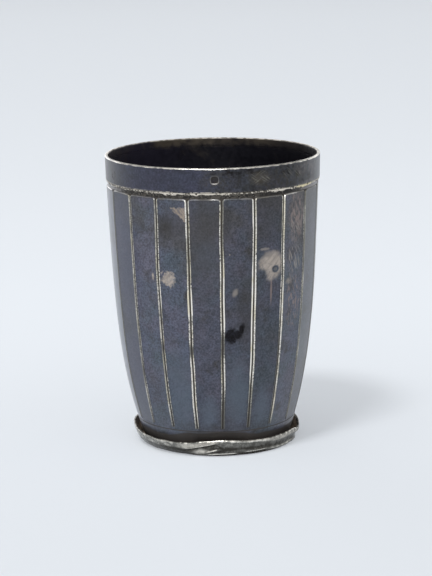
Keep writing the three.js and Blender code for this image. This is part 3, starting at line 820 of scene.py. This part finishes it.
# Band: outer face up, a half-round lip, inner face down to the ledge over the wall, then the lap
def bandPiece(outside, inside):
    lowRadius = lipRadius - band["taper"]
    lapRadius = lowRadius - band["lap"]
    lipHalf, rounding = band["lip"] / 2, band["edgeRound"]
    faceRows, lipRows, innerRows = band["rows"]
    faceZ = np.linspace(bandLow + rounding, height - lipHalf, faceRows)
    faceR = lowRadius + band["taper"] * (faceZ - bandLow) / (height - bandLow)
    turn = np.linspace(0, math.pi, lipRows)[1:]
    ledge = wallTop + band["gap"]
    r = np.concatenate([[lapRadius, lowRadius - rounding, lowRadius - 0.3 * rounding], faceR,
                        lipRadius - lipHalf + lipHalf * np.cos(turn),
                        np.full(innerRows - 1, lipRadius - band["lip"]), [lapRadius]])[:, None]
    z = np.concatenate([[bandLow, bandLow, bandLow + 0.3 * rounding], faceZ,
                        height - lipHalf + lipHalf * np.sin(turn),
                        np.linspace(height - lipHalf, ledge, innerRows)[1:], [ledge]])[:, None]
    punchAngle = math.radians(band["punchAt"][0])
    halfSpan, count = band["punchColumns"]
    closer = punchAngle + np.linspace(-halfSpan, halfSpan, count)
    angle = np.sort(np.concatenate([evenAngles(band["columns"])[0], closer]))[None, :]
    rows = np.arange(len(r))
    outFace = ((rows >= 2) & (rows < 3 + faceRows)).astype(float)[:, None]
    # Blank punch: a rounded square pressed in, distance measured as the third-power norm
    across = np.abs(lipRadius * (angle - punchAngle)) / band["punchHalf"]
    along = (z - band["punchAt"][1]) / band["punchHalf"]
    reach = (across**3 + np.abs(along) ** 3) ** (1 / 3)
    pressed = smoothStep(1.0, 0.78, reach) * outFace
    # Painted highlight round the punch's rim, strongest along its lower edge
    rim = bell(reach - 0.98, 0.10) * outFace * (0.45 + 0.55 * smoothStep(0.2, -0.6, along))
    fine = ripple(angle, 0.0, seed=21, waves=24, turns=45)
    wear = band["nick"] * (0.3 + 0.5 * fine + 0.4 * ripple(angle, 0.0, seed=22, waves=10, turns=14))
    uneven = band["uneven"] * (ripple(angle, z, seed=23) - 1)
    radius = r + outFace * uneven - band["punchDepth"] * pressed
    drop = -smoothStep(height - 2.5 * lipHalf, height, z) * np.clip(wear, 0, None)
    rowMaterial = rows >= 3 + faceRows + (lipRows + 1) // 2
    piece = skin("lipBand", radius, angle, z + drop, [outside, inside], rowMaterial,
                 values={"punchHighlight": rim, "punchGrimeAndShade": pressed}, sharp=60)
    dress(piece, "lip_band")


lipSolder = {
    "height": 1.0 * mm,  # down from the band
    "swell": 0.35,  # how much its size varies
    "least": 0.35,  # smallest share of its size
    "reach": 0.85,  # share of the band's lap that it fills
    "columns": 560,
    "rows": 9,
    "metallic": 0.9,
    "roughness": (0.34, 0.7),
    "bumps": (1.6, 0.4, 0.3 * mm),
    "edge": (89.65, 89.25),  # mm up, where it thins out
}


# Pale solder: blotchy cream with black gaps, yellow in one place on the right
def solderFinish():
    _, z = newFinish("pale_solder")
    gold = spot(*bandMarks["solderGold"])
    colour = blend(gold, "solder", "solderGold")
    runs, gaps, thin = (marked(bandMarks[key]) for key in ("solderRuns", "solderGaps", "solderThin"))
    specks = ramp(cloud(1.6, 3.0, 0.6, shift=(2, 31, 6)), 0.51, 0.58)
    patch = cloud(0.5, 5.0, 0.7)
    for mask, share in ((runs, 0.12), (gaps, -0.16), (gold, 0.12), (specks, 0.34), (thin, -0.05)):
        patch = maths("MULTIPLY_ADD", mask, share, patch)
    level = maths("MULTIPLY_ADD", thin, -0.3, z)
    patch = maths("ADD", patch, ramp(level, *lipSolder["edge"], (0.0, -0.2)))
    colour = lay(colour, "channel", ramp(patch, 0.54, 0.40, (0.0, 0.9)))
    missing = ramp(cloud(0.75, 4.0, 0.65, shift=(40, 2, 8)), 0.42, 0.34)
    colour = lay(colour, "grime", missing)
    return paint(colour, lipSolder, ramp(missing, 0.0, 1.0, lipSolder["roughness"]))


# Fillet under the band: a quarter-round whose size swells and shrinks round the beaker
def lipSolderPiece(finish):
    neck = lipRadius - band["taper"] - band["lap"]
    high = bandLow - band["gap"]
    angle = evenAngles(lipSolder["columns"])
    slow = ripple(angle, 0.0, seed=42, waves=10, turns=18)
    swell = ripple(angle, 0.0, seed=41, waves=16, turns=90) + 0.5 * slow
    size = lipSolder["height"] * np.clip(1 - lipSolder["swell"] * (0.8 - swell), lipSolder["least"], 1.0)
    part = np.linspace(0, math.pi / 2, lipSolder["rows"])[:, None]
    jagged = 1 + 0.15 * ripple(angle, 0.0, seed=43, waves=12, turns=120)
    out = np.minimum(band["lap"] * lipSolder["reach"], size) * jagged
    radius = np.concatenate([neck + 0 * angle, neck + np.minimum(out, band["lap"]) * np.sin(part)])
    z = np.concatenate([high + 0 * angle, high - size * np.cos(part)])
    dress(skin("lipSolder", radius, angle, z, [finish]), "lip_solder")


moulding = {
    "inside": 25.02 * mm,  # inner radius at the lower edge
    "clearance": 0.15 * mm,  # lower edge above the table
    "height": 4.85 * mm,
    "core": 0.6 * mm,
    "bead": 0.5 * mm,
    "lowBeadAt": 1.4 * mm,  # above the lower edge
    "topBeadDrop": 0.35 * mm,  # below the top edge
    "beadWidth": 0.57 * mm,
    "lowBeadDrop": 0.85 * mm,  # how far the lower bead runs down to the right
    "broadRim": (0.5 * mm, 0.35 * mm),  # how much lower and wider the top bead is on the right
    "bulge": 1.2 * mm,  # how far the lower face stands out in front and on the right
    "bulgePower": 1.3,  # how fast that fades upwards
    "lean": 2.4 * mm,  # top edge leans out past the lower edge
    "wornSide": -75,  # degrees from the front where wear has rounded the two beads into one swell
    "crumple": 0.10 * mm,
    "wave": 0.07 * mm,  # of the top edge
    "edgeRound": 0.35 * mm,  # height of the rounded top edge
    "rows": (56, 9, 12),  # of the face, the rounded edge and the back
    "columns": 720,
    # Windows in degrees: from nothing to full, and back to nothing
    "lowBeadRuns": (18, 55, 85, 112),
    "broadRuns": (20, 45, 75, 95),
    "topBeadGone": (-34, -24, -10, -2),
    "bulgeRuns": (-30, 0, 65, 100),
    # where the lower bead's painted highlight fades out into painted shade, at the right end
    "lowBeadInShade": (54, 70, 105, 135),
    "satinRuns": (-35, -27, -7, 0),
    # where the painted black contact shadow runs along the lower edge
    "contactShadowRuns": (-66, -44, 22, 48),
    "rubbedPatch": (-16, 5.5, 0.29, 0.19),  # angle and spread in degrees, share of the height and spread
    # Places where the painted highlight on the top edge is dimmed: angle and spread in degrees, share
    "dimmedRimHighlights": ((94, 24, 0.95), (-90, 13, 0.6), (-150, 12, 0.7), (165, 14, 0.7)),
    "metallic": (0.95, 0.5),  # bright, satin
    "roughness": (0.20, 0.36),
    "satinRoughness": 0.5,
    "bumps": (0.6, 0.25, 0.4 * mm),
}
# Bends that wear has put in: angle and spread in degrees, then in mm the lift and outward push of the top
# edge and the rise of the lower edge
footBends = [
    (-46, 26, -0.22, 0.35, 0.25),
    (-4, 13, 0.95, -0.3, 0.15),
    (14, 14, 0.35, 0.0, 0.15),
    (52, 12, 0.2, 0.1, 0.0),
    (80, 11, -1.7, 0.0, 0.1),
    (121, 22, 0.4, 0.2, 0.2),
    (174, 20, -0.35, 0.25, 0.0),
    (-104, 20, 0.95, 0.35, 0.2),
]
# Creases where the strip has folded: start and end in (degrees, share of the height), mm high and wide, how
# much slower they fall away upwards, and how bright wear and painted highlight make them. The first is the
# fold in front.
footFolds = [
    {"start": (-28, 0.58), "end": (-6, 0.86), "high": 0.36, "wide": 0.42, "shelf": 2.6},
    {"start": (-13, 0.25), "end": (-4, 0.41), "high": 0.30, "wide": 0.34},
    {"start": (-12, 0.10), "end": (10, 0.15), "high": 0.16, "wide": 0.22},
    {"start": (-5, 0.82), "end": (1, 0.52), "high": 0.06, "wide": 0.22, "shine": 0.55},
    {"start": (16, 0.22), "end": (32, 0.27), "high": 0.16, "wide": 0.26},
]


# Lift, push and rise at angles in degrees: each the sum of the bends, as bell curves
def bendsAt(degrees):
    total = np.zeros((3, *degrees.shape))
    for at, spread, *moves in footBends:
        shape = bell(degreesFrom(degrees, at), spread)
        total += np.multiply.outer(moves, shape) * mm
    return total


# One crease: a bell-shaped ridge that runs straight from start to end, with a hollow under it
def foldRidge(degrees, s, start, end, high, wide, shelf=1.0, shine=1.05):
    along = np.clip((degrees - start[0]) / (end[0] - start[0]), 0, 1)
    above = (s - start[1] - along * (end[1] - start[1])) * moulding["height"] / (wide * mm)
    shown = window(degrees, start[0] - 5, start[0] + 4, end[0] - 4, end[0] + 6)
    ridge = bell(above, np.where(above > 0, shelf, 1.0)) * shown
    hollow = bell(above + 1.7, 1.2) * shown
    return high * mm * (ridge - 0.7 * hollow), shine * ridge, hollow


# Foot silver: bright on beads, rim and creases from wear and painted highlights, darker in the hollows,
# darkened towards the table by painted shade and grime, with a painted black contact shadow along its lower
# edge
def footFinish():
    newFinish("foot_silver")
    satin = attribute("satin")
    patch = cloud(0.55, 5.0, 0.65)
    uneven = times(ramp(patch, 0.3, 0.7, (-0.22, 0.14)), ramp(satin, 0.0, 1.0, (1.0, 0.6)))
    bright = maths("ADD", attribute("brightened"), uneven)
    colour = blend(ramp(bright, 0.0, 0.5), "footShade", "footGrey")
    colour = lay(colour, "footSilver", ramp(bright, 0.45, 0.95))
    colour = lay(colour, blend(ramp(patch, 0.34, 0.62), "satinShade", "footSatin"), satin)
    colour = lay(colour, "footShade", ramp(cloud(1.3, 3.0, 0.6), 0.58, 0.68), 0.5)
    # Painted contact shadow: black along the lower edge
    colour = lay(colour, "black", attribute("contactShadowLine"))
    metallic = ramp(satin, 0.0, 1.0, moulding["metallic"])
    rough = mixValue(satin, ramp(patch, 0.3, 0.7, moulding["roughness"]), moulding["satinRoughness"])
    dents = times(cloud(moulding["bumps"][0]), ramp(satin, 0.0, 1.0, (1.0, 0.4)))
    return paint(colour, moulding, rough, metallic, dents)


# How the moulding is worn and lit. Brightness: painted highlights on the beads and rim, dimmed in places
# and where they would lie in shade, or on the worn side the swell, worn bright above and darkened below by
# painted shade and grime; creases bright from wear and painted highlight; less the hollows, and painted
# shade along the lower edge. Satin: between the front fold and the rim, below that fold, and along the
# broad rim.
def mouldingWearAndLight(degrees, s, lowBead, broad, worn, folds):
    ridges, hollows = (np.max([fold[k] for fold in folds], axis=0) for k in (1, 2))
    rims = [share * bell(degreesFrom(degrees, at), spread) for at, spread, share in moulding["dimmedRimHighlights"]]
    rimHighlightDimming = sum(rims)
    rimFrom = 0.88 - 0.16 * broad
    # Painted highlights on the rim and the beads, dimmed in places and where they would lie in shade
    paintedRimHighlight = smoothStep(rimFrom, rimFrom + 0.09, s) * (1 - rimHighlightDimming) * (1 - 0.25 * broad)
    paintedLowBeadHighlight = lowBead * (1 - 0.8 * window(degrees, *moulding["lowBeadInShade"]))
    paintedBeadHighlight = 0.22 + 0.8 * np.maximum(paintedLowBeadHighlight, paintedRimHighlight)
    # Worn side: the swell is worn bright above, with painted highlight, and darkened below by painted shade
    # and grime
    swellWearLightAndShade = -0.18 + 0.8 * smoothStep(0.44, 0.66, s) - 0.45 * rimHighlightDimming * smoothStep(0.8, 0.95, s)
    at, wide, up, high = moulding["rubbedPatch"]
    patch = bell(degrees - at, wide) * bell(s - up, high)
    ridges = np.maximum(ridges, 0.9 * patch)
    brightened = np.maximum(paintedBeadHighlight * (1 - worn) + swellWearLightAndShade * worn, ridges)
    # Darker in the hollows, and painted shade along the lower edge towards the table
    brightened = brightened - (0.55 * hollows + 0.4 * smoothStep(0.18, 0.03, s)) * np.clip(1 - ridges, 0, 1)
    foldHeight = np.interp(degrees, *zip(footFolds[0]["start"], footFolds[0]["end"]))
    satin = smoothStep(-0.05, 0.03, s - foldHeight) * window(degrees, *moulding["satinRuns"])
    broadSatin = 0.8 * broad * smoothStep(rimFrom - 0.06, rimFrom + 0.04, s)
    satin = np.maximum(np.maximum(satin, patch), broadSatin) * smoothStep(1.0, 0.92, s)
    return np.maximum(brightened, 0.85 * satin), satin


# Moulding: a leaning strip with a half-round top edge, whose face stands out by two bell-shaped beads, or by
# one sine swell on its worn side, plus the creases, with both edges moved by the bends
def mouldingPiece(outside, inside):
    faceRows, turnRows, backRows = moulding["rows"]
    turn, back = np.linspace(0, math.pi, turnRows)[1:-1], np.zeros(backRows)
    s = [np.linspace(0, 1, faceRows), np.ones_like(turn), np.linspace(1, 0, backRows)]
    s = np.concatenate(s)[:, None]
    depth = np.concatenate([np.ones(faceRows), (1 + np.cos(turn)) / 2, back])[:, None]
    crown = np.concatenate([np.zeros(faceRows), np.sin(turn), back])[:, None] * moulding["edgeRound"]
    angle = evenAngles(moulding["columns"])
    degrees = np.degrees(angle)
    lift, push, rise = bendsAt(degrees)
    up = s * moulding["height"]
    lowDrop = moulding["lowBeadDrop"] * window(degrees, *moulding["lowBeadRuns"])
    lowBead = bell(up - moulding["lowBeadAt"] + lowDrop, moulding["beadWidth"])
    broad = window(degrees, *moulding["broadRuns"])
    rimDrop, rimWide = (size * broad for size in moulding["broadRim"])
    topBeadAt = moulding["height"] - moulding["topBeadDrop"]
    topBead = bell(up - topBeadAt + rimDrop, moulding["beadWidth"] + rimWide)
    topBead = topBead * (1 - 0.9 * window(degrees, *moulding["topBeadGone"]))
    worn = (1 + np.cos(np.radians(degrees - moulding["wornSide"]))) / 2
    face = moulding["bead"] * ((lowBead + topBead) * (1 - worn) + np.sin(s * math.pi) * worn)
    folds = [foldRidge(degrees, s, **fold) for fold in footFolds]
    bulge = moulding["bulge"] * window(degrees, *moulding["bulgeRuns"])
    face = face + sum(fold[0] for fold in folds) + bulge * (1 - s) ** moulding["bulgePower"]
    crumple = moulding["crumple"] * ripple(angle, up, seed=61, waves=18, turns=22, length=2.2 * mm)
    radius = moulding["inside"] + (moulding["lean"] + push) * s + depth * (moulding["core"] + face + crumple)
    tall = moulding["height"] - moulding["edgeRound"]
    wave = moulding["wave"] * ripple(angle, 0.0, seed=62, waves=14, turns=30)
    z = moulding["clearance"] + (tall + lift + wave) * s + rise * (1 - s) + crown
    brightened, satin = mouldingWearAndLight(degrees, s, lowBead, broad, worn, folds)
    # Painted contact shadow: black on the lowest part of the face, in front
    contactShadow = smoothStep(0.085, 0.03, s) * window(degrees, *moulding["contactShadowRuns"])
    values = {"brightened": brightened * (depth > 0), "satin": satin * (depth > 0), "contactShadowLine": contactShadow}
    rowMaterial = depth[:, 0] <= 0
    piece = skin("footMoulding", radius, angle, z, [outside, inside], rowMaterial, values=values, sharp=70)
    dress(piece, "foot_moulding")


# Piece turned from a profile of radii and heights in metres, with a slight unevenness of its surface
def turnedPiece(name, node, profile, finish, closed=True, uneven=0.0, cols=240):
    r, z = np.array(profile).T[:, :, None]
    angle = evenAngles(cols)
    lumps = uneven * ripple(angle, r, seed=71, waves=16, turns=40, length=3 * mm) * (r > 0)
    dress(skin(name, r, angle, z + lumps, [finish], closed=closed), node)


base = {
    "thickness": 1.0 * mm,
    "rise": 1.2 * mm,  # how far its middle is domed up
    "gap": 0.3 * mm,  # to the curved faces beside it
    "fillet": 1.1 * mm,
    "solderGap": 0.1 * mm,
    "rows": 24,
    "filletRows": 9,
}


# Base disc: its height follows rise * (1 - s^2)^2 from the middle out to the turned edge, then it lies flat
def basePieces(finish):
    seat = plateTop + wall["thickness"]
    top = seat + base["thickness"]
    s = np.linspace(0, 1, base["rows"])
    dome = base["rise"] * (1 - s**2) ** 2
    under, over = (np.stack([turnedEdgeRadius * s, level + dome], axis=1) for level in (seat, top))
    rim = [[turnCentre - base["gap"], seat], [turnAt(top, turnInside) - base["gap"], top]]
    disc = np.concatenate([under, rim, over[::-1]])
    turnedPiece("baseDisc", "base_disc", disc, finish, closed=False)
    # Fillet in the corner between the disc and the wall, with a hollow face
    size, low = base["fillet"], top + base["solderGap"]
    high = low + size
    outer = turnAt(low, turnInside) - base["gap"]
    arc = np.linspace(math.pi / 2, 0, base["filletRows"])[1:-1]
    hollow = np.stack([outer - size * (1 - np.sin(arc)), high - size * np.cos(arc)], axis=1)
    corners = [[outer - size, low], [outer, low], [turnAt(high, turnInside) - base["gap"], high]]
    turnedPiece("baseSolder", "base_solder", np.concatenate([corners, hollow]), finish)


plate = {
    "width": 7.8 * mm,  # inner to outer edge
    "edgeRound": 0.2 * mm,
    "edgeRows": 5,
    "fillet": 1.0 * mm,  # height of the solder that fills the recess on it
    "sag": 0.15 * mm,  # hollow of that solder's top
    "topRows": 7,
    "uneven": 0.05 * mm,  # lumps of that solder
    "gap": 0.3 * mm,  # from that solder to the curved faces beside it
    "metallic": 0.9,
    "roughness": (0.36, 0.52),
    "bumps": (0.8, 0.2, 0.2 * mm),
    "paintedShadowFrom": (24.2, 24.75),  # mm from the axis, where the outer edge is painted black as shadow under the moulding
    "underneath": (0.16, 0.02),  # mm up
}
recess = {"metallic": 0.3, "roughness": (0.55, 0.8), "bumps": (0.8, 0.3, 0.3 * mm)}


# Recesses at the foot: dull brown-black grime
def recessFinish():
    newFinish("recess_grime")
    patch = cloud(0.4, 4.0, 0.6)
    colour = blend(ramp(patch, 0.35, 0.7), "grime", "recess")
    return paint(colour, recess, ramp(patch, 0.3, 0.7, recess["roughness"]))


# Foot plate: tarnish, with scuffs to bare silver where it stands on the table, and its outer edge painted
# black as shadow
def plateFinish():
    _, z = newFinish("plate_tarnish")
    colour, grain = tarnish(z)
    colour = lay(colour, "footBrown", ramp(cloud(0.3, 5.0, 0.65), 0.36, 0.66, (0.35, 0.9)))
    fromAxis = vector("LENGTH", vector("MULTIPLY", bench["place"], (1.0, 1.0, 0.0)))
    # Painted shadow: the outer edge is black
    colour = lay(colour, "black", ramp(fromAxis, *plate["paintedShadowFrom"]))
    fine = cloud(1.0, 3.0, 0.6, on=vector("MULTIPLY", bench["place"], (0.5, 2.2, 1.0)))
    brightened = ramp(cloud(0.12, 3.0, 0.5), 0.46, 0.64)
    scuffs = times(ramp(fine, 0.52, 0.66), brightened, ramp(z, *plate["underneath"]))
    colour = lay(colour, "footGrey", scuffs, 0.6)
    return paint(colour, plate, ramp(grain, 0.25, 0.75, plate["roughness"]))


# Foot plate: a flat ring with rounded edges. The solder on it fills the recess up to a hollowed top.
def platePieces(plateOutside, finish):
    inner, rounding = plateRadius - plate["width"], plate["edgeRound"]
    turn = np.linspace(0, math.pi / 2, plate["edgeRows"])
    cosine, sine = rounding * (1 - np.cos(turn)), rounding * (1 - np.sin(turn))
    ring = np.concatenate([
        np.stack([inner + cosine, sine], axis=1),
        np.stack([plateRadius - sine, cosine], axis=1),
        np.stack([plateRadius - cosine, plateTop - sine], axis=1),
        np.stack([inner + sine, plateTop - cosine], axis=1)[::-1],
    ])
    turnedPiece("footPlate", "foot_plate", ring, plateOutside)
    high = plateTop + plate["fillet"]
    lowest = moulding["clearance"] + bendsAt(np.arange(-180.0, 180.0))[2].max()
    mouldingAt = moulding["inside"] + moulding["lean"] * max(0.0, high - lowest) / moulding["height"]
    innerTop, outerTop = turnAt(high, wall["turnRadius"]) + plate["gap"], mouldingAt - plate["gap"]
    s = np.linspace(0, 1, plate["topRows"])
    top = np.stack([outerTop + (innerTop - outerTop) * s, high - plate["sag"] * np.sin(math.pi * s)], axis=1)
    innerFoot = turnAt(plateTop + plate["fillet"] / 2, wall["turnRadius"]) + plate["gap"]
    fill = np.concatenate([[[innerFoot, plateTop], [plateRadius, plateTop]], top])
    turnedPiece("footSolder", "foot_solder", fill, finish, uneven=plate["uneven"])


insideTarnish = insideFinish()
wallPiece(panelFinish(), insideTarnish)
bandPiece(bandFinish(), insideTarnish)
lipSolderPiece(solderFinish())
recessGrime = recessFinish()
mouldingPiece(footFinish(), recessGrime)
basePieces(insideTarnish)
platePieces(plateFinish(), recessGrime)

studio = {
    "floor": (0.795, 0.835, 0.885),
    "floorSize": 9.0,
    "floorGloss": {"Roughness": 0.9, "Specular IOR Level": 0.1},
    # Painted light on the paper, darker in front and brighter far behind: from and to in metres,
    # then the share at each end
    "paintedLightTones": ((-2.5, -0.20, 0.72, 1.0), (-0.20, 0.25, 0.88, 1.0), (0.6, 1.9, 1.0, 1.07)),
    "dimSide": (0.37, -0.93, 0.0),  # low down, the room is dim where the camera stands and bright all round
    "lowDim": 0.6,
    "lowBright": 1.4,
    "glowSide": (-0.5, 0.866, 0.0),  # and brightest behind on the left
    "glow": 2.6,
    "front": (-0.15, -0.99, 0.0),  # from higher up, most light comes from the front
    "overFront": 0.46,
    "overBack": 0.14,
    "overFrom": (0.2, 0.5),  # how high that starts, as the sine of the elevation
}
# A soft lamp whose shadow falls to the right, and a small low one in front that casts none
lamps = {
    "key": {"power": 132.0, "at": (-2.02, -2.83, 6.07), "size": 1.3},
    "fill": {"power": 375.0, "at": (-0.48, -5.90, 3.72), "size": 0.16, "shadow": False},
}


# Floor: a square of paper, darkened in front and brightened far behind by the product of ramps, as painted
# light
def floorPiece():
    half = studio["floorSize"] / 2
    corners = [(-half, -half, 0), (half, -half, 0), (half, half, 0), (-half, half, 0)]
    mesh = bpy.data.meshes.new("floor")
    mesh.from_pydata(corners, [], [(0, 1, 2, 3)])
    newFinish("paper_floor")
    y = parts(node("TexCoord", output="Object"))[1]
    tone = times(*[ramp(y, low, high, to) for low, high, *to in studio["paintedLightTones"]])
    feed(bench["shader"], {"Base Color": vector("SCALE", studio["floor"], tone), **studio["floorGloss"]})
    mesh.materials.append(bench["material"])
    floor = bpy.data.objects.new("floor", mesh)
    bpy.context.scene.collection.objects.link(floor)


# World: light by direction, one level low down and another higher up
def lightStudio():
    world = bpy.data.worlds.new("studio")
    bpy.context.scene.world = world
    world.use_nodes = True
    bench["tree"] = world.node_tree
    direction = node("TexCoord", output="Generated")
    dimness, glowing, frontness = (
        vector("DOT_PRODUCT", direction, studio[key]) for key in ("dimSide", "glowSide", "front"))
    low = ramp(dimness, 0.95, -0.1, (studio["lowDim"], studio["lowBright"]))
    low = maths("ADD", low, ramp(glowing, 0.88, 0.98, (0.0, studio["glow"])))
    over = ramp(frontness, -0.6, 0.5, (studio["overBack"], studio["overFront"]))
    level = mixValue(ramp(parts(direction)[2], *studio["overFrom"]), low, over)
    feed(world.node_tree.nodes["Background"], {"Color": (1, 1, 1, 1), "Strength": level})


# Square lamp that faces the beaker
def hangLamp(name, power, at, size, shadow=True):
    lamp = bpy.data.lights.new(name, "AREA")
    lamp.energy, lamp.size, lamp.use_shadow = power, size, shadow
    hung = bpy.data.objects.new(name, lamp)
    hung.location = at
    hung.rotation_euler = (Vector((0, 0, 0.05)) - hung.location).to_track_quat("-Z", "Y").to_euler()
    bpy.context.scene.collection.objects.link(hung)


camera = {
    "azimuth": -4.26,
    "elevation": 12.03,
    "roll": -0.88,
    "distance": 720 * mm,
    "aim": (0.5 * mm, 51.54 * mm),  # to the right of the axis, and up
    "focalPixels": 2125.9,
    "imageHeight": 576,
}


# Camera axes from azimuth and elevation, then turned by the roll about the line of sight
def placeCamera():
    a, e, t = (math.radians(camera[key]) for key in ("azimuth", "elevation", "roll"))
    back = np.array([math.sin(a) * math.cos(e), -math.cos(a) * math.cos(e), math.sin(e)])
    right = np.array([math.cos(a), math.sin(a), 0.0])
    up = np.cross(back, right)
    aim = camera["aim"][0] * right + np.array([0, 0, camera["aim"][1]])
    rolled = (math.cos(t) * right + math.sin(t) * up, math.cos(t) * up - math.sin(t) * right)
    axes = np.stack([*rolled, back], 1)
    lens = bpy.data.cameras.new("camera")
    lens.sensor_width = 36
    lens.lens = camera["focalPixels"] * lens.sensor_width / camera["imageHeight"]
    lens.clip_start, lens.clip_end = 0.01, 50
    eye = bpy.data.objects.new("camera", lens)
    bpy.context.scene.collection.objects.link(eye)
    eye.matrix_world = Matrix.LocRotScale(aim + camera["distance"] * back, Matrix(axes.tolist()), None)
    bpy.context.scene.camera = eye


floorPiece()
lightStudio()
for name, lamp in lamps.items():
    hangLamp(name, **lamp)
placeCamera()
bpy.context.scene.view_settings.view_transform = "Standard"
print("stage, light and camera set")
